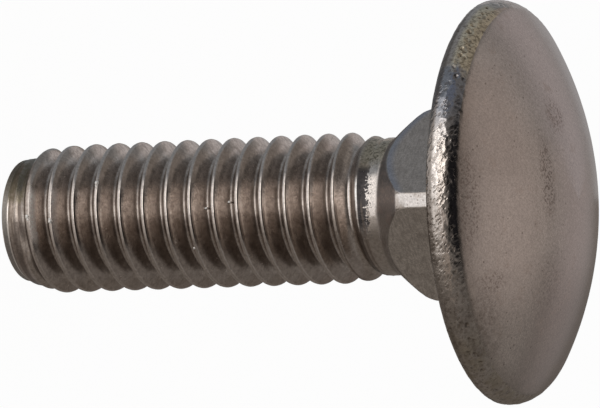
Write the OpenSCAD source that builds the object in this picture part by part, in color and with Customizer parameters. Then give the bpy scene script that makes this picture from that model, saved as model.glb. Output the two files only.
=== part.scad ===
/* [Head] */
// Diameter of the head over its rim
head_d = 15.5; // [13:0.1:18]
// Height of the head from its bearing face to the top of the dome
head_h = 3.3; // [3:0.05:4]
// Radius of the domed top
dome_r = 13.8; // [12.5:0.1:18]
// Radius of the rolled edge between the dome and the rim
rim_r = 0.75; // [0.4:0.05:0.8]
// Radius of the edge between the rim and the bearing face
under_r = 0.3; // [0.1:0.05:0.35]

/* [Square neck] */
// Width of the neck across its flats
neck_w = 5.66; // [5.5:0.02:6]
// Diameter over the rounded corners of the neck
neck_corner_d = 7.44; // [7:0.02:7.7]
// Length from the bearing face to the foot of the neck
neck_l = 3.85; // [2.5:0.05:5]
// Angle between the neck's tapered foot and the axis
neck_taper = 42; // [35:1:55]
// Radius that rounds the corners of the neck off into the tapered foot
neck_round = 1.1; // [0.2:0.05:1.5]

/* [Shank] */
// Length from the bearing face to the tip
length = 20; // [12:0.5:40]
// Diameter of the plain shank, which is the blank that the thread is rolled on
shank_d = 5.34; // [5.25:0.01:5.4]
// Length of plain shank between the neck and the end of the thread
plain_l = 0.45; // [0.2:0.05:5]

/* [Thread] */
// Diameter over the crests of the thread
thread_d = 5.86; // [5.7:0.01:6]
// Diameter at the roots of the thread
root_d = 4.75; // [4.7:0.01:4.9]
// Distance from one crest to the next
pitch = 1; // [0.9:0.01:1.2]
// Radius of the rounded crests
crest_r = 0.13; // [0.05:0.01:0.16]
// Included angle between the two flanks
flank_angle = 60; // [55:1:62]
// Length over which the thread fades into the plain shank
runout_l = 1.6; // [0.8:0.1:3]
// Angle round the axis at which the first crest leaves the tip
start_angle = 90; // [0:1:359]

/* [Tip] */
// Diameter of the flat end
end_d = 4.6; // [3.6:0.1:4.7]
// Diameter at which the steep bevel gives way to the shallow one
bevel_d = 5; // [4.8:0.05:5.3]
// Length of both bevels together, over which the crests grow to full height
lead_l = 1.2; // [0.8:0.1:2]

/* [Hidden] */
$fn = 96;
steel = "#8b8079";
// Facets in one turn of the thread
turn_facets = 36;
// How far one solid runs into the next, so that they fuse
overlap = 0.2;
// How far the end of the thread lies under the surface of the plain shank
under_shank = 0.01;

// Centre of the rim's edge, which is tangent to the rim and to the dome
dome_z = head_h - dome_r;
rim_x = head_d / 2 - rim_r;
rim_angle = asin(rim_x / (dome_r - rim_r));
rim_z = dome_z + (dome_r - rim_r) * cos(rim_angle);

tip_z = -length;
neck_z = -neck_l;
thread_top = neck_z - plain_l;

// Rounded roots take what the crests and the straight flanks leave of half a pitch
half_flank = flank_angle / 2;
thread_depth = (thread_d - root_d) / 2;
arc_share = cos(half_flank) - tan(half_flank) * (1 - sin(half_flank));
root_r = (pitch / 2 - thread_depth * tan(half_flank)) / arc_share - crest_r;

// One pitch of the thread form, as [distance along the axis from the crest, radius]
arc_end = 90 - half_flank;
thread_form = [
    for (a = [-arc_end : arc_end : arc_end])
        [crest_r * sin(a), thread_d / 2 - crest_r * (1 - cos(a))],
    for (a = [-arc_end : arc_end / 2 : arc_end])
        [pitch / 2 + root_r * sin(a), root_d / 2 + root_r * (1 - cos(a))]
];
form_points = len(thread_form);
// Turns that the form starts below the tip, and those it has below and above the threaded length
turns_under = 2;
turns_spare = 4;
turns = ceil((thread_top - tip_z) / pitch) + turns_spare;
rows = turns * form_points;

// Where row i of the form lies on the axis, at facet edge j of a turn
function row_z(i, j) =
    tip_z + pitch * (floor(i / form_points) - turns_under + j / turn_facets - start_angle / 360)
    + thread_form[i % form_points][0];

// The last row at or under the tip, and the first at or over the end of the thread
function first_row(j) = len([for (i = [0 : rows - 1]) if (row_z(i, j) <= tip_z) i]) - 1;
function last_row(j) = len([for (i = [0 : rows - 1]) if (row_z(i, j) < thread_top + overlap) i]);
first_rows = [for (j = [0 : turn_facets - 1]) first_row(j)];
last_rows = [for (j = [0 : turn_facets - 1]) last_row(j)];

// The tip's two bevels, and the fading of the thread into the shank
function bevel_radius(z) =
    let (steep_l = (bevel_d - end_d) / 2)
    z < tip_z + steep_l
        ? end_d / 2 + (z - tip_z)
        : bevel_d / 2 + (z - tip_z - steep_l) * (thread_d - bevel_d) / 2 / (lead_l - steep_l);
function fade(z) = min(1, max(0, (thread_top - z) / runout_l));

function thread_point(i, j) =
    let (
        z = min(max(row_z(i, j), tip_z), thread_top + overlap),
        blank = shank_d / 2 - under_shank,
        formed = blank + (thread_form[i % form_points][1] - blank) * fade(z),
        r = min(formed, bevel_radius(z)),
        a = 360 * j / turn_facets
    )
    [r * cos(a), r * sin(a), z];

// Rows beyond the two ends of a column share its end point. A turn ends one pitch higher than it starts.
function point_index(i, j) =
    j == turn_facets
        ? point_index(i + form_points, 0)
        : j * rows + min(max(i, first_rows[j]), last_rows[j]);

module thread() {
    columns = [0 : turn_facets - 1];
    points = [for (j = columns) for (i = [0 : rows - 1]) thread_point(i, j)];
    sides = [
        for (j = columns) for (i = [0 : rows - 2])
            let (
                a = point_index(i, j),
                b = point_index(i, j + 1),
                c = point_index(i + 1, j + 1),
                d = point_index(i + 1, j)
            )
            each [[a, c, b], [a, d, c]]
    ];
    ends = [
        [for (j = columns) point_index(0, j)],
        [for (j = [turn_facets - 1 : -1 : 0]) point_index(rows - 1, j)]
    ];
    whole = [for (t = sides) if (t[0] != t[1] && t[1] != t[2] && t[2] != t[0]) t];
    color(steel) polyhedron(points, concat(whole, ends));
}

module shank() {
    color(steel)
        translate([0, 0, thread_top])
            cylinder(h = plain_l + overlap, d = shank_d);
}

// Half of the round form that the square is pressed from: a taper, a rounded shoulder and a cylinder
module neck_blank() {
    corner_r = neck_corner_d / 2;
    foot_z = neck_z - overlap;
    foot_r = shank_d / 2 - overlap * tan(neck_taper);
    round_x = corner_r - neck_round;
    start_x = round_x + neck_round * cos(neck_taper);
    start_z = neck_z + (start_x - shank_d / 2) / tan(neck_taper);
    round_z = start_z + neck_round * sin(neck_taper);
    polygon([
        [0, foot_z], [foot_r, foot_z], [start_x, start_z],
        [corner_r, round_z], [corner_r, overlap], [0, overlap]
    ]);
    translate([round_x, round_z]) circle(r = neck_round);
}

module square_neck() {
    color(steel)
        intersection() {
            rotate_extrude() neck_blank();
            translate([-neck_w / 2, -neck_w / 2, neck_z - 2 * overlap])
                cube([neck_w, neck_w, neck_l + 4 * overlap]);
        }
}

// Half of the head's section: the dome, the rolled edge, the rim and the flat bearing face
module head_section() {
    beyond_edge = 2 * rim_r * [sin(rim_angle), cos(rim_angle)];
    intersection() {
        translate([0, dome_z]) circle(r = dome_r);
        polygon([
            [0, 0], [rim_x, 0], [rim_x, rim_z],
            [rim_x, rim_z] + beyond_edge,
            [0, head_h + overlap]
        ]);
    }
    translate([rim_x, rim_z]) circle(r = rim_r);
    translate([rim_x, under_r]) square([rim_r, rim_z - under_r]);
    translate([head_d / 2 - under_r, under_r]) circle(r = under_r);
    square([head_d / 2 - under_r, rim_z]);
}

module head() {
    color(steel) rotate_extrude() head_section();
}

module carriage_bolt() {
    head();
    square_neck();
    shank();
    thread();
}

carriage_bolt();
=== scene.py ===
import math

import bpy
from mathutils import Matrix, Vector, noise

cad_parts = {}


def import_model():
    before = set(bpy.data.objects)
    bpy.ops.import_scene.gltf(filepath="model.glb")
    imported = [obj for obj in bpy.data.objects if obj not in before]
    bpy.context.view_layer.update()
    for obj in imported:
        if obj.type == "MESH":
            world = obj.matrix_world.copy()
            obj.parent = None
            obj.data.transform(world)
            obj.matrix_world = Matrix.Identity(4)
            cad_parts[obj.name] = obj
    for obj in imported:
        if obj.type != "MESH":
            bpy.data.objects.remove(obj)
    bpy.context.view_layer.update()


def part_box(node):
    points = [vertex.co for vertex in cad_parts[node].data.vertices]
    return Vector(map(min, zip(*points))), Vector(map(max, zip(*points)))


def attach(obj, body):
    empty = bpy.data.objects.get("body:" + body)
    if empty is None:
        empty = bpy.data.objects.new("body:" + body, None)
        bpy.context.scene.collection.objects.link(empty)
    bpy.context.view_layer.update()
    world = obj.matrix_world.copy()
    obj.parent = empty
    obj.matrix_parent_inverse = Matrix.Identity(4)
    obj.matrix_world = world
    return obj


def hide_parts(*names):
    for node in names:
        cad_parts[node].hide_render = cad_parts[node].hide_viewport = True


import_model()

# The bolt is one piece of stainless wire. Its head and square neck are struck cold between dies, and
# its thread is rolled between flat dies afterwards, so one closed skin runs from the dome to the tip.
# Sizes are in millimetres until the mesh is scaled to metres. Every ring runs once round the axis.
lowest, highest = (corner * 1000 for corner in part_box("carriage_bolt"))
points = []
faces = []

# Head: struck up from the end of the wire into a low dome, which meets a turned-over rim in a faint
# line. The rim is the coarse part of the forging. Its skin is wrinkled and full of small pits, which thin
# out on the dome.
rim_radius = highest.x
dome_top = highest.z
dome_radius = 13.8
dome_line = 7.4
crease_angle = math.radians(9)
under_radius = 0.3
dome_centre = dome_top - dome_radius
line_angle = math.asin(dome_line / dome_radius)
line_height = dome_centre + dome_radius * math.cos(line_angle)
rim_start = line_angle + crease_angle
rim_curve = (rim_radius - dome_line) / (1 - math.sin(rim_start))
rim_low = line_height - rim_curve * math.cos(rim_start)

dome_columns = 100
dome_rows = 14
rim_columns = 800
rim_rows = 16
dome_edge_rows = 22
under_rows = 8
pitted_from = 6.2
pitted_lean = math.asin(pitted_from / dome_radius)

# The section of the rim, as (radius, height, outward angle from the axis, distance from the dome line)
section = []
for i in range(dome_edge_rows):
    lean = pitted_lean + (line_angle - pitted_lean) * i / dome_edge_rows
    along = (lean - line_angle) * dome_radius
    height = dome_centre + dome_radius * math.cos(lean)
    section.append((dome_radius * math.sin(lean), height, lean, along))
for i in range(rim_rows + 1):
    lean = rim_start + (math.pi / 2 - rim_start) * i / rim_rows
    along = (lean - rim_start) * rim_curve
    height = rim_low + rim_curve * math.cos(lean)
    section.append((rim_radius - rim_curve * (1 - math.sin(lean)), height, lean, along))
rim_end = (math.pi / 2 - rim_start) * rim_curve + rim_low - under_radius
for i in range(under_rows + 1):
    lean = math.pi / 2 * (1 + i / under_rows)
    along = rim_end + (lean - math.pi / 2) * under_radius
    radius = rim_radius - under_radius * (1 - math.sin(lean))
    section.append((radius, under_radius + under_radius * math.cos(lean), lean, along))

# Deeper pits on the rim, as (angle round the axis, height, radius)
rim_pits = (
    (155, 0.72, 0.06), (160, 0.78, 0.08), (163, 0.79, 0.06), (168, 0.73, 0.09), (169, 0.45, 0.06),
    (171.5, 0.75, 0.12), (175, 0.45, 0.07), (175.5, 0.80, 0.08), (177, 0.92, 0.07), (179.5, 0.74, 0.10),
    (-179.8, 0.87, 0.06), (-178, 0.77, 0.10), (-177.5, 0.93, 0.07), (-173, 0.66, 0.07),
    (-170, 0.81, 0.09), (-169.5, 1.04, 0.06), (-96, 0.90, 0.09), (-91, 0.82, 0.07), (-90, 0.95, 0.06),
    (-85, 0.80, 0.08), (-81, 0.87, 0.06), (-77.5, 0.78, 0.07), (-65, 0.79, 0.06),
)
stained = {}


def ramp(value, start, end):
    t = min(max((value - start) / (end - start), 0), 1)
    return t * t * (3 - 2 * t)


def head_relief(place, angle, along):
    """How far the skin lies under the true form in the band round the rim, and how dark it is there."""
    rough = ramp(along, -0.12, 0.05) * (1 - ramp(along, 1.15, 1.4))
    spread = ramp(along, -1.1, 0.2) * (1 - ramp(along, 1.1, 1.4))
    # Folds and creases of the rim's skin, which lean a little round the axis
    twist = angle + 0.05 * along
    swept = Vector((math.cos(twist), math.sin(twist), 0)) * rim_radius
    folds = noise.noise(swept * 2.6 + Vector((0, 0, 5 * along)))
    creases = noise.noise(swept * 5.5 + Vector((0, 0, 8 * along)))
    depth = rough * (0.014 + 0.012 * folds + 0.010 * creases)
    dark = 0
    # Small pits in two sizes, on some cells of a random layout
    for size, room in ((0.08, 2.7), (0.05, 5.0)):
        near, centres = noise.voronoi(place * room)
        chance = noise.cell(centres[0] * 7.3)
        radius = size * (0.7 + 0.6 * abs(chance)) * (0.55 if along < -0.02 else 1)
        if chance > 0.8 - 0.7 * spread:
            hollow = 1 - ramp(near[0] / room, 0.3 * radius, radius)
            depth += spread * 0.4 * radius * hollow
            dark = max(dark, spread * hollow)
    for pit_angle, pit_height, radius in rim_pits:
        turn = (math.degrees(angle) - pit_angle + 180) % 360 - 180
        off = math.hypot(math.radians(turn) * rim_radius, (place.z - pit_height) * 1.2)
        hollow = 1 - ramp(off, 0.3 * radius, 1.2 * radius)
        depth = max(depth, 0.03 + 0.6 * radius * hollow) if hollow else depth
        dark = max(dark, hollow)
    return depth, dark


def ring(places):
    points.extend(places)
    return list(range(len(points) - len(places), len(points)))


def turned(radius, height, count):
    step = math.tau / count
    return [(radius * math.cos(step * i), radius * math.sin(step * i), height) for i in range(count)]


def stitch(above, below):
    """Joins two rings, where one may have a whole number of points for each point of the other."""
    many, few = (above, below) if len(above) > len(below) else (below, above)
    share = len(many) // len(few)
    for i in range(len(few)):
        near, far = few[i], few[(i + 1) % len(few)]
        run = [many[(share * i + k) % len(many)] for k in range(share + 1)]
        if share == 1:
            loop = [(run[0], run[1], far, near)]
        else:
            middle = share // 2
            loop = [(run[k], run[k + 1], near if k < middle else far) for k in range(share)]
            loop.append((run[middle], far, near))
        faces.extend(loop if many is below else [tuple(reversed(f)) for f in loop])


apex = ring([(0, 0, dome_top)])
above = None
for i in range(dome_rows):
    lean = pitted_lean * (i + 0.5) / (dome_rows + 0.5)
    radius, height = dome_radius * math.sin(lean), dome_centre + dome_radius * math.cos(lean)
    below = ring(turned(radius, height, dome_columns))
    if above:
        stitch(above, below)
    else:
        faces.extend((below[k], below[(k + 1) % dome_columns], apex[0]) for k in range(dome_columns))
    above = below
for radius, height, lean, along in section:
    places = []
    for x, y, z in turned(radius, height, rim_columns):
        place = Vector((x, y, z))
        outward = Vector((x * math.sin(lean) / radius, y * math.sin(lean) / radius, math.cos(lean)))
        depth, dark = head_relief(place, math.atan2(y, x), along)
        stained[len(points) + len(places)] = dark
        places.append(tuple(place - outward * depth))
    below = ring(places)
    stitch(above, below)
    above = below

# Neck: the round wire is pressed square in the die, so its corners keep the round. They fall away in a
# soft shoulder to a taper, which runs down to the shank. The rings of the neck bunch up at each corner.
neck_half = 2.83
corner_radius = 3.72
shoulder_round = 1.1
neck_foot = -3.85
neck_fillet = 0.15
taper_angle = math.radians(42)
taper = math.tan(taper_angle)
shank_radius = 2.67
edge_round = 0.06
low_edge_round = 0.12
low_edge_from = -3.4
low_edge_to = -2.8
foot_blend = 0.08
taper_room = 0.3

# The angles of the columns in a quarter turn from the middle of a flat, in degrees
corner = math.degrees(math.acos(neck_half / corner_radius))
columns = 160
flat_steps = 13
flat_step = 3.2
edge_steps = (-0.9, -0.3, 0, 0.3, 0.9)
quarter = [flat_step * i for i in range(flat_steps)]
quarter += [corner + s for s in edge_steps]
quarter += [45 + s for s in (-2.4, -1.2, 0, 1.2, 2.4)]
quarter += [90 - corner + s for s in edge_steps]
quarter += [90 - flat_step * i for i in range(flat_steps - 1, 0, -1)]
neck_angles = [math.radians(side * 90 + a) for side in range(4) for a in quarter]
shoulder_start = corner_radius - shoulder_round * (1 - math.cos(taper_angle))
shoulder_low = neck_foot + (shoulder_start - shank_radius) / taper
shoulder_top = shoulder_low + shoulder_round * math.sin(taper_angle)


def smooth_min(a, b, width):
    overlap = max(width - abs(a - b), 0) / width
    return min(a, b) - overlap * overlap * width / 4


def blank_radius(height):
    """The round form that the square is pressed from."""
    if height < shoulder_low:
        return shank_radius + (height - neck_foot) * taper
    drop = max(shoulder_top - height, 0)
    return corner_radius - shoulder_round + math.sqrt(shoulder_round ** 2 - drop ** 2)


def neck_radius(angle, height):
    flat = neck_half / max(abs(math.cos(angle)), abs(math.sin(angle)))
    width = edge_round + low_edge_round * (1 - ramp(height, low_edge_from, low_edge_to))
    held = smooth_min(flat, blank_radius(height), width)
    return -smooth_min(-held, -shank_radius, foot_blend)


def taper_edge(angle):
    """The height at which the taper meets the flat, or where the shoulder starts on the corners."""
    flat = neck_half / max(abs(math.cos(angle)), abs(math.sin(angle)))
    if flat < shoulder_start:
        return neck_foot + (flat - shank_radius) / taper
    bow = shoulder_round ** 2 - (min(flat, corner_radius) - corner_radius + shoulder_round) ** 2
    return shoulder_top - math.sqrt(max(bow, 0))


def rows_room(angle):
    """The share of their full spacing that the rows at the taper's edge have room for."""
    return min((taper_edge(angle) - neck_foot) / taper_room, 1)


def neck_ring(height_at, grow=0.0):
    """A ring of the neck, where height_at gives its height at an angle."""
    places = []
    for angle in neck_angles:
        height = height_at(angle)
        radius = neck_radius(angle, min(height, -neck_fillet)) + grow
        places.append((radius * math.cos(angle), radius * math.sin(angle), height))
    return ring(places)


for radius, count in ((7.0, rim_columns), (6.2, columns), (5.2, columns), (4.4, columns)):
    below = ring(turned(radius, 0, count))
    stitch(above, below)
    above = below
for i in range(5):
    turn = math.pi / 2 * i / 4
    grow = neck_fillet * (1 - math.sin(turn))
    drop = -neck_fillet * (1 - math.cos(turn))
    below = neck_ring(lambda angle: drop, grow)
    stitch(above, below)
    above = below
for share in (0.2, 0.4, 0.6, 0.8):
    below = neck_ring(lambda a: -neck_fillet + share * (taper_edge(a) + 0.15 + neck_fillet))
    stitch(above, below)
    above = below
for step in (0.15, 0.1, 0.06, 0.03, 0, -0.03, -0.06, -0.1):
    below = neck_ring(lambda a: taper_edge(a) + step * rows_room(a))
    stitch(above, below)
    above = below
for share in (0.12, 0.25, 0.37, 0.5, 0.62, 0.75, 0.87):
    below = neck_ring(
        lambda a: (1 - share) * (taper_edge(a) - 0.1 * rows_room(a)) + share * (neck_foot + foot_blend)
    )
    stitch(above, below)
    above = below
for step in (1, 0.5, 0, -0.5, -1):
    below = neck_ring(lambda a: neck_foot + step * foot_blend)
    stitch(above, below)
    above = below

# Thread: pressed up out of the wire between flat dies, right handed, at one millimetre a turn, with
# rounded crests and roots. It fades out in a rough patch below the neck, where the dies let go, and
# bevels take its crests down at the tip.
tip = lowest.z
thread_top = -4.3
thread_radius = 2.93
root_radius = 2.30
pitch = 1.0
crest_round = 0.10
root_round = 0.10
runout = 1.6
first_crest = 0.25
grid_end = tip + 0.32
# The way toward the picture's top, across the axis, as (x, y)
top_way = (-0.744, 0.668)
# The bevels at the tip, as (height over the tip, radius). On the side toward the picture's foot they are
# fuller, and there the first groove is hardly rolled out.
lead_in = ((0.26, 2.44), (0.74, 2.52), (1.2, 2.84), (1.5, 2.90), (2.4, 2.93))
fuller = 0.13
first_groove = 2.375
groove_deepens = 0.08
groove_blend = 0.03
bevel_blend = 0.06
# How deep the rough patch of the run-out is torn
torn = 0.05


def straight(start, end):
    """The two points that part a flank in three."""
    return [
        (start[0] + (end[0] - start[0]) * t, start[1] + (end[1] - start[1]) * t) for t in (1 / 3, 2 / 3)
    ]


# One turn of the thread's section, as (distance along the axis from the crest, radius)
root_middle = 0.54
arc = [math.radians(a) for a in (-60, -30, 0, 30, 60)]
crest = [(crest_round * math.sin(a), thread_radius - crest_round * (1 - math.cos(a))) for a in arc]
root = [(root_middle + root_round * math.sin(a), root_radius + root_round * (1 - math.cos(a))) for a in arc]
next_crest = (pitch + crest[0][0], crest[0][1])
form = crest + straight(crest[-1], root[0]) + root + straight(root[-1], next_crest)
rows = len(form) * (math.ceil((thread_top - tip) / pitch) + 4)


def row_height(row, angle):
    turn, step = divmod(row, len(form))
    return tip + pitch * (turn - 2 + angle / math.tau - first_crest) + form[step][0]


def thread_place(row, angle):
    height = min(max(row_height(row, angle), grid_end), thread_top)
    rise = height - tip
    fade = min(1, (thread_top - height) / runout)
    formed = shank_radius + (form[row % len(form)][1] - shank_radius) * fade
    bevel = thread_radius + 0.1
    for (low, low_radius), (high, high_radius) in zip(lead_in, lead_in[1:]):
        if low <= rise < high:
            bevel = low_radius + (rise - low) * (high_radius - low_radius) / (high - low)
    full_side = ramp(-top_way[0] * math.cos(angle) - top_way[1] * math.sin(angle), 0.2, 0.75)
    bevel += full_side * fuller * ramp(rise, 0.2, 0.5) * (1 - ramp(rise, 1.2, 2.2))
    shallow = first_groove - groove_deepens * ramp(rise, 1.0, 1.6)
    shallow += full_side * (bevel - groove_blend - shallow) * (1 - ramp(rise, 0.9, 1.5))
    formed = -smooth_min(-formed, -shallow, groove_blend)
    radius = smooth_min(formed, bevel, bevel_blend)
    place = Vector((radius * math.cos(angle), radius * math.sin(angle), height))
    ragged = 0.12 * noise.noise(place * 3.5) + 0.05 * noise.noise(place * 12)
    rough = ramp(height, -5.0, -4.75) * (1 - ramp(height + ragged, -4.42, -4.30))
    radius -= torn * rough * (0.5 + 0.5 * noise.noise(place * 8)) + 0.003 * noise.noise(place * 4)
    return (radius * math.cos(angle), radius * math.sin(angle), height)


# The plain shank turns the neck's bunched columns back into even ones
even = [math.tau * i / columns for i in range(columns)]
for share in (0.25, 0.5, 0.75):
    places = []
    for bunched, plain in zip(neck_angles, even):
        angle = bunched + (plain - bunched) * share
        height = neck_foot - foot_blend + (thread_top - neck_foot + foot_blend) * share
        places.append((shank_radius * math.cos(angle), shank_radius * math.sin(angle), height))
    below = ring(places)
    stitch(above, below)
    above = below

top_ring = ring([thread_place(rows, angle)[:2] + (thread_top,) for angle in even])
low_ring = ring([thread_place(0, angle)[:2] + (grid_end,) for angle in even])
stitch(above, top_ring)

# One column of places for each angle, where rows beyond the ends share the end's ring. Where a turn closes,
# the last column joins the first one a pitch higher.
grid = []
for j, angle in enumerate(even):
    column = []
    for row in range(rows):
        height = row_height(row, angle)
        if height <= grid_end:
            column.append(low_ring[j])
        elif height >= thread_top:
            column.append(top_ring[j])
        else:
            column.append(ring([thread_place(row, angle)])[0])
    grid.append(column)
grid.append(grid[0][len(form):] + [top_ring[0]] * len(form))
for left, right in zip(grid, grid[1:]):
    for row in range(rows - 1):
        corners = [left[row], right[row], right[row + 1], left[row + 1]]
        kept = [c for k, c in enumerate(corners) if c != corners[k - 1]]
        if len(set(kept)) > 2:
            faces.append(tuple(kept))

# The short dull cylinder at the tip and the sheared end, as (radius, height over the tip)
end_rings = (
    (2.445, 0.305), (2.455, 0.29), (2.46, 0.275), (2.455, 0.26), (2.445, 0.24), (2.435, 0.15),
    (2.43, 0.08), (2.425, 0.04), (2.41, 0.012), (2.38, 0), (2.1, 0.005), (1.5, 0.015), (0.8, 0.02),
)
above = low_ring
for radius, height in end_rings:
    below = ring(turned(radius, tip + height, columns))
    stitch(above, below)
    above = below
centre = ring([(0, 0, tip + end_rings[-1][1])])
faces.extend((above[(k + 1) % columns], above[k], centre[0]) for k in range(columns))

# Slivers that the dies left hanging on the crests, as (angle round the axis, height, radius, reach)
slivers = (
    (-135, -18.63, 2.84, 0.10), (-132.5, -18.60, 2.84, 0.075), (-130.5, -17.62, 2.88, 0.095),
    (-132.5, -17.64, 2.87, 0.065), (-160, -15.69, 2.90, 0.09), (-157.5, -15.69, 2.89, 0.065),
    (-137, -11.14, 2.38, 0.055), (-142, -10.16, 2.38, 0.055), (-105, -11.60, 2.91, 0.05),
)
sliver_rows = 6
sliver_sides = 10
loose = set()
for angle, height, radius, reach in slivers:
    angle = math.radians(angle)
    middle = Vector((radius * math.cos(angle), radius * math.sin(angle), height))
    first_point = len(points)
    above = ring([tuple(middle + Vector((0, 0, reach)))])
    for i in range(1, sliver_rows):
        lean = math.pi * i / sliver_rows
        places = []
        for k, (x, y, z) in enumerate(turned(reach * math.sin(lean), 0, sliver_sides)):
            uneven = 0.95 + 0.14 * math.sin(1.3 * k + 1.9 * i)
            places.append(tuple(middle + uneven * Vector((x, y, reach * math.cos(lean)))))
        below = ring(places)
        if i == 1:
            faces.extend((below[k], below[(k + 1) % sliver_sides], above[0]) for k in range(sliver_sides))
        else:
            stitch(above, below)
        above = below
    foot = ring([tuple(middle - Vector((0, 0, reach)))])
    faces.extend((above[(k + 1) % sliver_sides], above[k], foot[0]) for k in range(sliver_sides))
    loose.update(range(first_point, len(points)))

# The skin takes the place of the solid
mesh = bpy.data.meshes.new("bolt")
mesh.from_pydata(points, [], faces)
mesh.transform(Matrix.Scale(0.001, 4))
mesh.polygons.foreach_set("use_smooth", [True] * len(mesh.polygons))
mesh.validate()
bolt = bpy.data.objects.new("bolt", mesh)
bpy.context.scene.collection.objects.link(bolt)
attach(bolt, "root")
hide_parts("carriage_bolt")

shade_layer = mesh.attributes.new("stained", "FLOAT", "POINT")
shade_layer.data.foreach_set("value", [stained.get(i, 0.0) for i in range(len(mesh.vertices))])
loose_layer = mesh.attributes.new("sliver", "FLOAT", "POINT")
loose_layer.data.foreach_set("value", [float(i in loose) for i in range(len(mesh.vertices))])

# The steel is bare and a little brown, tumbled dull on the dome and neck and left bright where the dies
# pressed it. Besides its stains and grain, painted highlights, sheen and shade are laid into its colour,
# each named where it is laid on. Its marks lie by the place on the bolt in millimetres. The functions add
# nodes to the tree that is being built.
steel = bpy.data.materials.new("stainless_steel")
steel.use_nodes = True
tree = steel.node_tree


def wire(target, value):
    """Sets an input, or joins an output to it."""
    if isinstance(value, bpy.types.NodeSocket):
        tree.links.new(value, target)
    else:
        target.default_value = value


def calc(operation, *values):
    node = tree.nodes.new("ShaderNodeMath")
    node.operation = operation
    for socket, value in zip(node.inputs, values):
        wire(socket, value)
    return node.outputs[0]


def total(*values):
    result = values[0]
    for value in values[1:]:
        result = calc("ADD", result, value)
    return result


def product(*values):
    result = values[0]
    for value in values[1:]:
        result = calc("MULTIPLY", result, value)
    return result


def rest_of(mask):
    return calc("SUBTRACT", 1.0, mask)


def between(value, low, high):
    """Rises softly from 0 to 1 as the value goes from low to high."""
    node = tree.nodes.new("ShaderNodeMapRange")
    node.interpolation_type = "SMOOTHSTEP"
    wire(node.inputs["Value"], value)
    wire(node.inputs["From Min"], low)
    wire(node.inputs["From Max"], high)
    return node.outputs["Result"]


def before(value, low, high):
    """Falls softly from 1 to 0 as the value goes from low to high."""
    return rest_of(between(value, low, high))


def stripe(value, start, full, fade, end):
    """Rises from 0 to 1 between start and full, and falls back to 0 between fade and end."""
    return product(between(value, start, full), before(value, fade, end))


def cloud(where, scale, detail=2.0, roughness=0.5):
    node = tree.nodes.new("ShaderNodeTexNoise")
    wire(node.inputs["Vector"], where)
    wire(node.inputs["Scale"], scale)
    wire(node.inputs["Detail"], detail)
    wire(node.inputs["Roughness"], roughness)
    return node.outputs[0]


def specks(where, scale, size, share):
    """Round marks on a share of the cells of a random layout."""
    node = tree.nodes.new("ShaderNodeTexVoronoi")
    wire(node.inputs["Vector"], where)
    wire(node.inputs["Scale"], scale)
    chance = tree.nodes.new("ShaderNodeSeparateColor")
    wire(chance.inputs[0], node.outputs["Color"])
    picked = calc("LESS_THAN", chance.outputs[0], share)
    return product(picked, before(node.outputs["Distance"], 0.4 * size * scale, size * scale))


def stretch(where, scales):
    node = tree.nodes.new("ShaderNodeVectorMath")
    node.operation = "MULTIPLY"
    wire(node.inputs[0], where)
    wire(node.inputs[1], scales)
    return node.outputs[0]


def joined(*values):
    node = tree.nodes.new("ShaderNodeCombineXYZ")
    for socket, value in zip(node.inputs, values):
        wire(socket, value)
    return node.outputs[0]


def stored(name):
    """A value that the mesh holds for each of its points."""
    node = tree.nodes.new("ShaderNodeAttribute")
    node.attribute_name = name
    return node.outputs["Fac"]


# Lays a colour over another by a mask, for stains and for painted light and shade alike
def stain_and_light(colour, mask, over):
    node = tree.nodes.new("ShaderNodeMix")
    node.data_type = "RGBA"
    wire(node.inputs["Factor"], mask)
    wire(node.inputs["A"], colour)
    wire(node.inputs["B"], over)
    return node.outputs["Result"]


spot = stretch(tree.nodes.new("ShaderNodeTexCoord").outputs["Object"], (1000, 1000, 1000))
axes = tree.nodes.new("ShaderNodeSeparateXYZ")
wire(axes.inputs[0], spot)
x, y, z = axes.outputs
from_axis = calc("SQRT", total(product(x, x), product(y, y)))
# How far a place lies toward the picture's top and toward the camera, from -1 to 1, and in millimetres
front_way = (-0.668, -0.744)
top_side = calc("DIVIDE", total(product(x, top_way[0]), product(y, top_way[1])), from_axis)
front_side = calc("DIVIDE", total(product(x, front_way[0]), product(y, front_way[1])), from_axis)
toward_top = product(top_side, from_axis)
toward_front = product(front_side, from_axis)
# For marks drawn round the axis, and for the rim's marks, which lean when it is unrolled flat
round_axis = joined(calc("DIVIDE", x, from_axis), calc("DIVIDE", y, from_axis), z)
unroll_radius = 7.7
rim_lean = 0.3
unrolled = product(calc("ARCTAN2", top_side, front_side), unroll_radius)
slanted = joined(unrolled, calc("SUBTRACT", z, product(unrolled, rim_lean)), 0.0)

# Grain of four sizes, and what the mesh holds
mottle = cloud(spot, 1.4, 5.0, 0.65)
grain = cloud(spot, 8.0, 3.0, 0.7)
patch = cloud(spot, 0.45, 2.0, 0.5)
pepper = cloud(spot, 16.0, 2.0, 0.6)
grain_swing = calc("SUBTRACT", grain, 0.5)
dirt = stored("stained")
sliver = stored("sliver")

# The parts of the bolt, as masks. The neck's foot is where its skin has reached the cone of the taper.
on_head = between(z, -0.03, 0.0)
outer = between(from_axis, 7.385, 7.41)
on_rim = product(on_head, outer)
on_dome = product(between(z, 1.08, 1.12), rest_of(outer))
on_neck = product(rest_of(on_head), between(z, -4.0, -3.9))
off_cone = calc("SUBTRACT", from_axis, total(product(calc("SUBTRACT", z, neck_foot), taper), shank_radius))
on_foot = product(on_neck, between(off_cone, -0.07, -0.03))
squarest = calc("MAXIMUM", calc("ABSOLUTE", x), calc("ABSOLUTE", y))
on_corner = product(on_neck, before(squarest, 2.79, 2.815), rest_of(on_foot))
on_flat = product(on_neck, rest_of(on_foot), rest_of(on_corner))
under_neck = before(z, -3.95, -3.85)
on_shank = product(under_neck, between(z, -4.45, -4.35))
on_thread = before(z, -4.45, -4.35)
at_crest = between(from_axis, 2.86, 2.91)
on_crest = product(on_thread, at_crest)
on_flank = product(on_thread, rest_of(at_crest))
on_tip = before(z, -19.25, -19.1)
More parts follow.
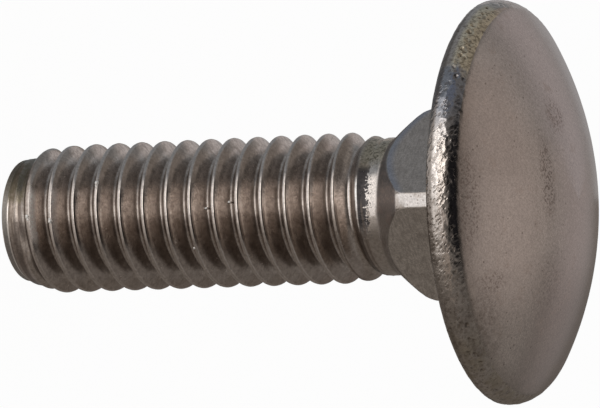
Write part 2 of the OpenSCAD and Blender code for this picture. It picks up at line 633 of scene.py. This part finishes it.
on_end = before(z, -19.765, -19.75)

dome_colour = (0.52, 0.458, 0.415, 1)
rim_colour = (0.56, 0.50, 0.455, 1)
shank_colour = (0.57, 0.503, 0.458, 1)
colour = stain_and_light(dome_colour, rest_of(on_dome), shank_colour)
colour = stain_and_light(colour, on_rim, rim_colour)

# Dome: broad dark and pale tones, thin brown patches and small dark specks
colour = stain_and_light(colour, product(on_dome, between(top_side, 0.45, 0.95)), (0.575, 0.525, 0.495, 1))
low_far = product(on_dome, before(toward_front, 1.8, 3.4), before(toward_top, -4.6, -2.0))
colour = stain_and_light(colour, product(low_far, 0.75), (0.35, 0.30, 0.265, 1))
low_right = product(on_dome, before(toward_front, -0.2, 1.6), before(toward_top, -4.4, -1.6))
colour = stain_and_light(colour, product(low_right, 0.42), (0.30, 0.26, 0.23, 1))
low_near = product(on_dome, between(toward_front, 2.6, 4.2), before(toward_top, -6.0, -4.5))
colour = stain_and_light(colour, product(low_near, 0.8), (0.64, 0.56, 0.51, 1))
high_near = product(on_dome, between(toward_front, 3.2, 4.8), between(toward_top, 0.2, 1.5))
high_near = product(high_near, before(toward_top, 4.2, 5.6))
colour = stain_and_light(colour, product(high_near, 0.5), (0.40, 0.345, 0.31, 1))
mid_dome = product(on_dome, stripe(toward_front, 0.6, 1.6, 2.8, 3.6))
mid_dome = product(mid_dome, before(calc("ABSOLUTE", toward_top), 1.2, 2.6))
colour = stain_and_light(colour, product(mid_dome, 0.8), (0.61, 0.54, 0.49, 1))
speckled = product(on_dome, between(patch, 0.45, 0.6))
brown = product(on_dome, between(mottle, 0.55, 0.72), 0.5)
colour = stain_and_light(colour, brown, (0.40, 0.33, 0.285, 1))


def blot(front, top, front_half, top_half):
    """A soft round patch on the dome, placed by distances toward the camera's side and the picture's top."""
    across = calc("DIVIDE", calc("SUBTRACT", toward_front, front), front_half)
    along = calc("DIVIDE", calc("SUBTRACT", toward_top, top), top_half)
    off = calc("SQRT", total(product(across, across), product(along, along)))
    return product(on_dome, before(total(off, product(0.5, mottle)), 0.7, 1.35))


stipple = between(cloud(spot, 10.0, 2.0, 0.6), 0.50, 0.60)
for front, top, front_half, top_half, depth in (
    (1.15, 3.2, 0.9, 0.8, 0.8), (2.6, 0.8, 0.6, 2.0, 0.8), (6.9, 0.2, 0.6, 2.4, 0.6),
    (5.6, -2.9, 0.9, 0.5, 0.6), (5.6, -4.2, 1.0, 1.2, 0.35), (3.4, 4.6, 1.6, 1.0, 0.14),
    (2.2, -3.2, 1.2, 1.4, 0.3),
):
    marked = product(blot(front, top, front_half, top_half), total(0.12, product(0.88, stipple)), depth)
    colour = stain_and_light(colour, marked, (0.21, 0.16, 0.135, 1))
line_dirt = product(on_dome, between(from_axis, 6.7, 7.4), before(top_side, 0.4, 0.8))
colour = stain_and_light(colour, product(line_dirt, 0.45), (0.30, 0.25, 0.21, 1))
dots = product(on_dome, specks(spot, 2.4, 0.055, 0.25))
dots = calc("MAXIMUM", dots, product(speckled, specks(spot, 5.0, 0.045, 0.3)))
colour = stain_and_light(colour, product(dots, 0.7), (0.16, 0.125, 0.105, 1))

# Rim: olive tarnish on two parts of it, painted light as a warm sheen on the upper one, a painted bluish
# reflection, a painted highlight band, dirt in the pits, and painted shade under the edge
ragged = total(top_side, product(0.25, calc("SUBTRACT", mottle, 0.5)))
# The upper olive tarnish is painted light as a warm sheen, with dark pits in it
olive = product(on_rim, between(ragged, 0.60, 0.68), between(z, 0.42, 0.62), between(front_side, 0.2, 0.34))
colour = stain_and_light(colour, product(olive, 0.95), (0.93, 0.81, 0.61, 1))
olive_spots = product(olive, between(cloud(spot, 6.0, 3.0, 0.7), 0.50, 0.60))
colour = stain_and_light(colour, product(olive_spots, 0.6), (0.20, 0.165, 0.11, 1))
# A painted bluish reflection on the rim's upper side
cool_rim_reflection = product(on_rim, stripe(ragged, 0.26, 0.48, 0.60, 0.68))
colour = stain_and_light(colour, product(cool_rim_reflection, 0.8), (0.38, 0.395, 0.44, 1))
# A painted highlight band on the rim, weaker near the dome
rim_highlight_band = product(on_rim, stripe(top_side, -0.02, 0.08, 0.32, 0.40))
rim_highlight_band = product(rim_highlight_band, total(1.0, product(-0.75, between(z, 0.48, 0.60))))
colour = stain_and_light(colour, rim_highlight_band, (0.80, 0.73, 0.68, 1))
low_olive = product(on_rim, before(ragged, -0.74, -0.5))
colour = stain_and_light(colour, product(low_olive, between(mottle, 0.35, 0.6), 0.7), (0.42, 0.36, 0.27, 1))
large_dents = specks(stretch(slanted, (0.62, 1, 1)), 6.2, 0.085, 0.62)
small_dents = specks(stretch(slanted, (0.8, -1.1, 1)), 8.3, 0.06, 0.5)
hammered = product(on_rim, calc("MAXIMUM", large_dents, small_dents))
colour = stain_and_light(colour, product(hammered, 0.45), (0.20, 0.155, 0.125, 1))
colour = stain_and_light(colour, product(dirt, 0.8), (0.11, 0.085, 0.065, 1))
top_line = product(on_rim, between(z, 0.55, 0.86), before(top_side, -0.45, -0.25))
colour = stain_and_light(colour, product(top_line, 0.26), (0.26, 0.215, 0.18, 1))
low_side = product(on_head, between(z, 0.08, 0.2), between(from_axis, 6.1, 7.1))
low_side = product(low_side, before(top_side, -0.58, -0.36), between(front_side, 0.52, 0.74))
low_brown = product(low_side, between(cloud(spot, 2.6, 3.0, 0.65), 0.42, 0.60))
colour = stain_and_light(colour, product(low_brown, 0.40), (0.20, 0.16, 0.13, 1))
# Painted shade under the rim's edge, brown, weaker toward the picture's foot
under_edge_shade = product(on_rim, before(z, 0.26, 0.38))
under_edge_shade = product(under_edge_shade, total(0.3, product(0.45, between(top_side, -0.35, -0.2))))
colour = stain_and_light(colour, under_edge_shade, (0.15, 0.12, 0.10, 1))

# Neck: drawn lines round the flats, the lower flat painted lighter and a painted bluish reflection on the
# upper one, corners painted lighter as highlight with dark marks on them, and a brown foot
lines = cloud(stretch(round_axis, (8, 8, 11)), 1.0, 3.0, 0.65)
# Painted light: the lower flat is lighter
lower_flat_light = product(on_flat, before(top_side, -0.1, 0.1))
colour = stain_and_light(colour, lower_flat_light, (0.75, 0.685, 0.635, 1))
colour = stain_and_light(colour, product(on_flat, between(lines, 0.42, 0.62), 0.4), (0.34, 0.30, 0.265, 1))
colour = stain_and_light(colour, product(on_flat, between(mottle, 0.5, 0.65), 0.3), (0.30, 0.26, 0.23, 1))
# Painted highlight: mottled lighter patches on the corners
colour = stain_and_light(colour, product(on_corner, between(mottle, 0.42, 0.55)), (0.70, 0.645, 0.61, 1))
colour = stain_and_light(colour, product(on_corner, specks(spot, 9.0, 0.045, 0.4), 0.7), (0.26, 0.21, 0.18, 1))
# A painted bluish reflection on the upper flat, near the taper
blue_reflection = product(on_flat, between(top_side, 0.05, 0.25), between(off_cone, -0.42, -0.1))
colour = stain_and_light(colour, product(blue_reflection, 0.85), (0.39, 0.40, 0.455, 1))
foot_share = total(0.5, product(0.46, between(top_side, -0.35, 0.0)))
colour = stain_and_light(colour, product(on_foot, foot_share), (0.15, 0.127, 0.117, 1))
rusty = product(on_foot, between(cloud(spot, 3.5, 3.0, 0.65), 0.5, 0.6))
colour = stain_and_light(colour, product(rusty, 0.4), (0.28, 0.215, 0.185, 1))
# The bright strip on a corner ends in half an ellipse, and the rest of the corner below it is painted dark as
# shade
strip_low = -2.78
strip_half = 0.40
strip_taper = 5.5
off_corner = calc("ABSOLUTE", calc("SUBTRACT", calc("ABSOLUTE", x), calc("ABSOLUTE", y)))
end_way = calc("MAXIMUM", product(calc("SUBTRACT", strip_low, z), strip_taper), 0.0)
end_way = calc("MINIMUM", end_way, 1.0)
end_wide = product(strip_half, calc("SQRT", rest_of(product(end_way, end_way))))
strip_end_shade = product(on_corner, calc("GREATER_THAN", off_corner, end_wide), before(z, -2.5, -2.4))
colour = stain_and_light(colour, product(strip_end_shade, 0.85), (0.17, 0.145, 0.125, 1))

# Thread: flanks with fine brown grain, and painted light and shade on them: bright toward the head, dark
# toward the tip, and darker toward the picture's top and foot. The phase runs from 0 at a crest to 1 at the
# next one toward the head.
fine = cloud(stretch(round_axis, (12, 12, 6)), 1.0, 3.0, 0.65)
turned_by = calc("DIVIDE", calc("ARCTAN2", y, x), math.tau)
phase = calc("FRACT", total(z, -tip + first_crest, product(-1.0, turned_by)))
head_flank_light = product(on_thread, stripe(phase, 0.04, 0.07, 0.26, 0.44))
colour = stain_and_light(colour, head_flank_light, (0.95, 0.84, 0.765, 1))
off_middle = calc("ABSOLUTE", calc("SUBTRACT", top_side, 0.05))
near_side = before(off_middle, 0.28, 0.45)
colour = stain_and_light(colour, on_crest, (0.64, 0.57, 0.525, 1))
colour = stain_and_light(colour, product(on_flank, between(fine, 0.42, 0.72), 0.4), (0.38, 0.31, 0.26, 1))
blotched = product(on_flank, between(cloud(spot, 4.5, 4.0, 0.7), 0.46, 0.60))
colour = stain_and_light(colour, product(blotched, 0.35), (0.26, 0.205, 0.17, 1))
# Painted shade on the flanks toward the picture's foot and toward its top
low_flank_shade = product(on_flank, before(top_side, -0.55, -0.3), before(phase, 0.3, 0.42))
colour = stain_and_light(colour, product(low_flank_shade, 0.65), (0.27, 0.22, 0.19, 1))
high_flank_shade = product(on_flank, stripe(top_side, 0.3, 0.5, 0.94, 1.02))
high_flank_shade = product(high_flank_shade, before(phase, 0.2, 0.36))
colour = stain_and_light(colour, product(high_flank_shade, 0.7), (0.33, 0.28, 0.24, 1))
# A painted highlight on the plain shank, strongest toward the picture's top
shank_highlight_share = total(0.35, product(0.65, between(top_side, -0.1, 0.1)))
colour = stain_and_light(colour, product(on_shank, shank_highlight_share), (0.79, 0.715, 0.66, 1))

# Run-out: a rough dark patch with a ragged edge, in which the last crest and root are painted as highlights
# and the last groove as shade
last_crest_glint = product(near_side, stripe(phase, 0.83, 0.87, 0.92, 0.95))
last_crest_glint = product(last_crest_glint, stripe(z, -4.95, -4.88, -4.72, -4.66))
last_root_glint = product(near_side, stripe(phase, 0.46, 0.50, 0.54, 0.57), between(z, -5.35, -5.3))
last_groove_shade = product(on_thread, stripe(phase, 0.58, 0.62, 0.77, 0.80))
last_groove_shade = product(last_groove_shade, near_side, between(z, -5.2, -5.1))
colour = stain_and_light(colour, product(last_groove_shade, 0.85), (0.10, 0.082, 0.072, 1))
run_edge = total(z, product(1.1, grain_swing), -0.03)
run_out = product(before(run_edge, -4.36, -4.30), between(z, -5.0, -4.7))
run_out = product(run_out, stripe(top_side, -0.5, -0.2, 0.55, 0.75), rest_of(last_crest_glint))
colour = stain_and_light(colour, product(run_out, total(0.78, product(0.3, grain))), (0.05, 0.046, 0.05, 1))
olive_neck = product(before(z, -3.95, -3.8), between(z, -5.0, -4.6), between(top_side, 0.5, 0.75))
colour = stain_and_light(colour, product(olive_neck, 0.9), (0.55, 0.475, 0.36, 1))
olive_dots = product(olive_neck, between(cloud(spot, 10.0, 3.0, 0.7), 0.47, 0.60))
colour = stain_and_light(colour, product(olive_dots, 0.85), (0.13, 0.105, 0.065, 1))
low_shank = product(under_neck, between(z, -5.0, -4.8), before(top_side, -0.5, -0.2))
colour = stain_and_light(colour, product(low_shank, between(grain, 0.42, 0.62), 0.5), (0.22, 0.18, 0.15, 1))

# Painted shade: dark lines along the groove, on the flank toward the tip and at the foot of each crest
groove_shade_brown = (0.20, 0.165, 0.145, 1)
root_side_shade = product(on_thread, stripe(phase, 0.38, 0.45, 0.49, 0.53))
colour = stain_and_light(colour, product(root_side_shade, near_side, 0.75), (0.14, 0.115, 0.10, 1))
root_low_shade = product(on_thread, near_side, stripe(phase, 0.44, 0.50, 0.60, 0.64))
root_low_shade = product(root_low_shade, before(top_side, -0.12, 0.0))
colour = stain_and_light(colour, product(root_low_shade, 0.8), groove_shade_brown)
root_high_shade = product(on_thread, stripe(phase, 0.46, 0.50, 0.62, 0.66))
root_high_shade = product(root_high_shade, stripe(top_side, 0.12, 0.3, 0.6, 0.75))
colour = stain_and_light(colour, product(root_high_shade, 0.6), groove_shade_brown)
tip_flank_shade = product(on_thread, stripe(phase, 0.60, 0.68, 0.90, 0.93))
tip_flank_shade = product(tip_flank_shade, total(0.6, product(0.3, before(top_side, -0.1, 0.05))))
colour = stain_and_light(colour, tip_flank_shade, (0.18, 0.145, 0.125, 1))
crest_foot_shade = product(on_thread, stripe(phase, 0.04, 0.06, 0.11, 0.14))
crest_foot_shade = product(crest_foot_shade, before(top_side, -0.02, 0.15), between(top_side, -0.5, -0.3))
colour = stain_and_light(colour, product(crest_foot_shade, 0.75), groove_shade_brown)
# Painted highlights on the last root and crest of the run-out
colour = stain_and_light(colour, product(last_root_glint, on_thread, 0.8), (0.95, 0.87, 0.82, 1))
colour = stain_and_light(colour, last_crest_glint, (1.0, 0.93, 0.88, 1))
# The slivers are painted nearly white, as a painted highlight
colour = stain_and_light(colour, sliver, (1.0, 0.96, 0.92, 1))

# Tip: the bevels are stained and darkened further as painted shade, the sheared end is grey and dull, and its
# edge has a painted highlight on the lower side
streaks = cloud(stretch(round_axis, (1.5, 1.5, 11)), 1.0, 2.0, 0.5)
bevel_stain_and_shade = product(on_tip, rest_of(on_end), total(0.2, product(0.5, between(streaks, 0.4, 0.65))))
colour = stain_and_light(colour, bevel_stain_and_shade, (0.30, 0.24, 0.20, 1))
colour = stain_and_light(colour, product(on_end, 0.9), (0.42, 0.40, 0.38, 1))
# Painted shade on the land at the tip, stronger toward the picture's foot
on_land = product(on_tip, stripe(z, -19.50, -19.42, -19.24, -19.2))
land_shade = total(0.34, product(0.41, before(top_side, -0.05, 0.12)))
colour = stain_and_light(colour, product(on_land, land_shade), groove_shade_brown)
# Painted shade in the first root, with a painted glint beside it
first_root_shade = product(on_tip, near_side, stripe(phase, 0.37, 0.40, 0.46, 0.485))
colour = stain_and_light(colour, product(first_root_shade, 0.92), (0.10, 0.08, 0.07, 1))
first_root_glint = product(on_tip, near_side, stripe(phase, 0.485, 0.50, 0.60, 0.66))
colour = stain_and_light(colour, product(first_root_glint, 0.8), (0.95, 0.86, 0.80, 1))
tip_dark = product(rest_of(on_end), between(top_side, 0.22, 0.38), before(z, -19.15, -19.0))
tip_dark = product(tip_dark, total(0.45, product(0.45, between(grain, 0.4, 0.6))))
colour = stain_and_light(colour, tip_dark, (0.15, 0.13, 0.085, 1))
# Painted light on the first crest's flank toward the head
first_flank_light = product(near_side, stripe(phase, 0.05, 0.08, 0.22, 0.28), stripe(z, -19.0, -18.9, -17.6, -17.3))
colour = stain_and_light(colour, product(first_flank_light, 0.9), (0.97, 0.88, 0.82, 1))
# A painted highlight on the end's edge, away from the picture's top
end_edge_glint = product(on_tip, stripe(z, -19.765, -19.75, -19.70, -19.68))
end_edge_glint = product(end_edge_glint, before(top_side, 0.2, 0.4))
colour = stain_and_light(colour, end_edge_glint, (0.95, 0.88, 0.83, 1))
high_end = product(on_tip, between(top_side, 0.3, 0.55), before(z, -19.68, -19.6))
colour = stain_and_light(colour, product(high_end, 0.6), (0.16, 0.14, 0.10, 1))

# All tones are shaded by fine grain, and the dull parts are rough
shade = total(0.34, product(0.16, mottle), product(0.60, grain), product(0.56, pepper))
shaded = tree.nodes.new("ShaderNodeVectorMath")
shaded.operation = "SCALE"
wire(shaded.inputs[0], colour)
wire(shaded.inputs["Scale"], shade)

dull = total(
    0.13, product(0.11, on_dome), product(0.12, on_flat), product(0.32, on_foot), product(0.12, on_flank),
    product(0.25, run_out), product(0.30, on_end), product(0.30, first_flank_light), product(0.50, sliver),
    product(0.20, olive), product(0.10, low_olive), product(0.30, dirt), product(0.10, grain_swing),
    product(0.14, on_rim, before(top_side, -0.45, -0.15)),
)

# The skin's finest relief, in millimetres. The rim is calmer near the dome, and toward the picture's top
# and foot.
wrinkles = calc("SUBTRACT", cloud(stretch(slanted, (6, 9, 1)), 0.75, 3.0, 0.55), 0.5)
calm_near_dome = total(1.0, product(-0.65, between(z, 0.62, 0.82)))
calm_top = total(0.35, product(0.65, before(top_side, 0.30, 0.48)))
calm_foot = total(0.45, product(0.55, between(top_side, -0.5, -0.2)))
rim_relief = calc("SUBTRACT", product(0.031, wrinkles), product(0.014, hammered))
relief = total(
    product(on_rim, calm_near_dome, calm_top, calm_foot, rim_relief),
    product(0.003, on_dome, grain_swing),
    product(0.005, on_flat, calc("SUBTRACT", lines, 0.5)),
    product(0.012, total(on_foot, low_shank), grain_swing),
    product(0.0035, on_flank, calc("SUBTRACT", fine, 0.5)),
    product(0.05, run_out, grain_swing),
)
bump = tree.nodes.new("ShaderNodeBump")
wire(bump.inputs["Height"], relief)
wire(bump.inputs["Distance"], 0.001)

shader = tree.nodes["Principled BSDF"]
wire(shader.inputs["Base Color"], shaded.outputs[0])
wire(shader.inputs["Roughness"], dull)
wire(shader.inputs["Normal"], bump.outputs[0])
shader.inputs["Metallic"].default_value = 1
mesh.materials.append(steel)

# Floor: a plain pale sheet under the tip. Rays from the camera and from shiny metal see it nearly
# white, and the rest of it is matt, so the bolt's shadow stays.
floor_half = 1.5
floor_corners = [(x * floor_half, y * floor_half, 0) for x, y in ((-1, -1), (1, -1), (1, 1), (-1, 1))]
floor_mesh = bpy.data.meshes.new("floor")
floor_mesh.from_pydata(floor_corners, [], [(0, 1, 2, 3)])
floor = bpy.data.objects.new("floor", floor_mesh)
floor.location.z = tip / 1000
bpy.context.scene.collection.objects.link(floor)
paper = bpy.data.materials.new("floor_paper")
paper.use_nodes = True
tree = paper.node_tree
tree.nodes.clear()
matt = tree.nodes.new("ShaderNodeBsdfDiffuse")
matt.inputs["Color"].default_value = (0.9, 0.9, 0.9, 1)
white = tree.nodes.new("ShaderNodeEmission")
white.inputs["Strength"].default_value = 1.03
white_share = 0.94
ray = tree.nodes.new("ShaderNodeLightPath").outputs
seen = total(ray["Is Camera Ray"], ray["Is Glossy Ray"], ray["Is Transmission Ray"])
mix = tree.nodes.new("ShaderNodeMixShader")
wire(mix.inputs["Fac"], product(seen, white_share))
wire(mix.inputs[1], matt.outputs[0])
wire(mix.inputs[2], white.outputs[0])
wire(tree.nodes.new("ShaderNodeOutputMaterial").inputs["Surface"], mix.outputs[0])
floor_mesh.materials.append(paper)

# Camera: it looks down on the standing bolt past its head, and is turned so that the axis lies across
# the picture with the head at the right.
azimuth = math.radians(-41.9)
away = 0.15626
camera_height = 0.0579
aim = Vector((-0.00022, 0.00011, -0.00816))
axis_turn = math.radians(2.234)
camera_place = Vector((away * math.sin(azimuth), -away * math.cos(azimuth), camera_height))
look = (aim - camera_place).normalized()
along_axis = (Vector((0, 0, 1)) - look * look.z).normalized()
right = Matrix.Rotation(axis_turn, 3, look) @ along_axis
up = right.cross(look)
camera_data = bpy.data.cameras.new("camera")
camera_data.lens = 261.16
camera_data.sensor_width = 36
camera = bpy.data.objects.new("camera", camera_data)
camera_turn = Matrix((right, up, -look)).transposed()
camera.matrix_world = Matrix.Translation(camera_place) @ camera_turn.to_4x4()
bpy.context.scene.collection.objects.link(camera)
bpy.context.scene.camera = camera

# Studio: one large soft lamp beside the camera, low down, and dim surroundings. They hold a brighter wall
# behind the head and a dark gap above the lamp, which bright metal needs to show its edges. Angles are in
# degrees: rise turns up from the camera's side over the top to the back, and side leans to the picture's top.
studio = bpy.data.worlds.new("studio")
bpy.context.scene.world = studio
studio.use_nodes = True

soft_panel = bpy.data.node_groups.new("soft_panel", "ShaderNodeTree")
for name in ("Rise", "Side", "Rise Middle", "Rise Half", "Side Middle", "Side Half", "Edge"):
    soft_panel.interface.new_socket(name, in_out="INPUT", socket_type="NodeSocketFloat")
soft_panel.interface.new_socket("Mask", in_out="OUTPUT", socket_type="NodeSocketFloat")
tree = soft_panel
given = tree.nodes.new("NodeGroupInput").outputs
sides = []
for way in ("Rise", "Side"):
    off = calc("ABSOLUTE", calc("SUBTRACT", given[way], given[way + " Middle"]))
    half = given[way + " Half"]
    outside = between(off, calc("SUBTRACT", half, given["Edge"]), calc("ADD", half, given["Edge"]))
    sides.append(rest_of(outside))
wire(tree.nodes.new("NodeGroupOutput").inputs["Mask"], product(*sides))

tree = studio.node_tree
turned_way = tree.nodes.new("ShaderNodeVectorRotate")
turned_way.rotation_type = "Z_AXIS"
turned_way.inputs["Angle"].default_value = -azimuth
wire(turned_way.inputs["Vector"], tree.nodes.new("ShaderNodeTexCoord").outputs["Generated"])
split = tree.nodes.new("ShaderNodeSeparateXYZ")
wire(split.inputs[0], turned_way.outputs[0])
rise = calc("DEGREES", calc("ARCTAN2", split.outputs["Z"], product(split.outputs["Y"], -1.0)))
side = calc("DEGREES", calc("ARCSINE", product(split.outputs["X"], -1.0)))
surround = (0.215, 0.205, 0.195, 1)
# What the bolt mirrors, as (name, light, middle and half of the rise, middle and half of the side, edge)
panels = (
    ("up side", (0.18, 0.205, 0.26), 0, 60, 75, 20, 12),
    ("beside the lamp", (0.36, 0.305, 0.26), -8, 30, -32, 16, 10),
    ("lamp's dim edge", (0.58, 0.535, 0.505), 6, 16, -8, 15, 8),
    ("wall behind", (0.52, 0.47, 0.45), 116, 19, 6, 28, 12),
    ("low wall behind", (0.42, 0.38, 0.38), 160, 14, 6, 28, 10),
    ("dark gap", (0.012, 0.012, 0.014), 64, 26, 5, 32, 14),
)
for name, light, rise_middle, rise_half, side_middle, side_half, edge in panels:
    panel = tree.nodes.new("ShaderNodeGroup")
    panel.node_tree = soft_panel
    panel.label = name
    values = (rise, side, rise_middle, rise_half, side_middle, side_half, edge)
    for socket, value in zip(panel.inputs, values):
        wire(socket, value)
    surround = stain_and_light(surround, panel.outputs["Mask"], light + (1,))
wire(tree.nodes["Background"].inputs["Color"], surround)

lamp_side = math.radians(24)
lamp_rise = math.radians(10)
lamp_away = 0.32
lamp_low = 0.01
lamp_wide_half = math.radians(20.5)
lamp_high_half = math.radians(11)
lamp_glow = 1.7
lamp_data = bpy.data.lights.new("soft_lamp", "AREA")
lamp_data.shape = "RECTANGLE"
lamp_data.size = 2 * lamp_away * math.tan(lamp_wide_half)
lamp_data.size_y = 2 * lamp_away * math.tan(lamp_high_half)
lamp_data.energy = lamp_glow * math.pi * lamp_data.size * lamp_data.size_y
lamp_data.color = (1.0, 0.985, 0.96)
lamp = bpy.data.objects.new("soft_lamp", lamp_data)
lamp_way = Matrix.Rotation(azimuth - lamp_side, 3, "Z") @ Vector(
    (0, -math.cos(lamp_rise), math.sin(lamp_rise))
)
lamp.location = lamp_way * lamp_away - Vector((0, 0, lamp_low))
lamp.rotation_euler = lamp_way.to_track_quat("Z", "Y").to_euler()
lamp.visible_camera = False
bpy.context.scene.collection.objects.link(lamp)

# Grey cards lie and stand round the bolt, where only shiny metal sees them. They glow with set tones, so they
# paint what the metal mirrors. A gap toward the lamp lets it see the floor. Each card is given by its first
# and last angle from the camera, toward the picture's top, and by the angle over which its first edge fades
# from a paler tone.
card_away = 0.032
card_steps = 24
card_low = tip / 1000 + 0.00002
card_top = 0.003
tip_lift = 0.00001
tip_share = 0.12
inner_share = 0.073
# The edges of each kind, as (share of card_away, height)
card_edges = {
    "foot": ((1, card_low), (inner_share, card_low)),
    "tip": ((tip_share, card_low + tip_lift), (inner_share, card_low + tip_lift)),
    "wall": ((1, card_low), (1, card_top)),
}
paper_white = (0.97, 0.97, 0.97)
pale = (0.70, 0.66, 0.62)
down_pale = (0.45, 0.425, 0.40)
down_dark = (0.17, 0.155, 0.14)
up_grey = (0.25, 0.27, 0.29)
for kind, side, start, light, first, last, fade in (
    ("foot", "up_side", paper_white, up_grey, 32, 140, 36),
    ("foot", "behind", None, (0.24, 0.215, 0.20), 140, 210, 0),
    ("foot", "down_near", paper_white, down_pale, 15, -14, 29),
    ("foot", "down_side", down_pale, down_dark, -14, -150, 36),
    ("tip", "up_side", pale, (0.20, 0.19, 0.185), 22, 80, 36),
    ("tip", "down_side", pale, (0.22, 0.20, 0.185), 22, -80, 50),
    ("wall", "up_side", paper_white, up_grey, 46, 140, 14),
    ("wall", "behind_up", None, (0.40, 0.39, 0.395), 140, 180, 0),
    ("wall", "behind_down", None, (0.17, 0.15, 0.135), 180, 210, 0),
    ("wall", "down_side", (0.42, 0.40, 0.38), down_dark, -14, -150, 30),
):
    name = kind + "_" + side
    outline = []
    for share, height in card_edges[kind]:
        for i in range(card_steps + 1):
            turn = azimuth - math.radians(first + (last - first) * i / card_steps)
            out = card_away * share
            outline.append((out * math.sin(turn), -out * math.cos(turn), height))
    strips = [(i, i + 1, i + card_steps + 2, i + card_steps + 1) for i in range(card_steps)]
    card_mesh = bpy.data.meshes.new(name)
    card_mesh.from_pydata(outline, [], strips)
    along_card = card_mesh.attributes.new("along", "FLOAT", "POINT")
    spread = [abs(last - first) * i / card_steps for i in range(card_steps + 1)]
    along_card.data.foreach_set("value", spread + spread)
    card = bpy.data.objects.new(name, card_mesh)
    bpy.context.scene.collection.objects.link(card)
    card_glow = bpy.data.materials.new(name)
    card_glow.use_nodes = True
    tree = card_glow.node_tree
    glow = tree.nodes.new("ShaderNodeEmission")
    tone = light + (1,)
    if fade:
        tone = stain_and_light(start + (1,), between(stored("along"), 0.0, fade), tone)
    wire(glow.inputs["Color"], tone)
    wire(tree.nodes["Material Output"].inputs["Surface"], glow.outputs[0])
    card_mesh.materials.append(card_glow)
    card.visible_camera = False
    card.visible_diffuse = False
    card.visible_shadow = False
    card.visible_transmission = False

bpy.context.scene.view_settings.view_transform = "Standard"
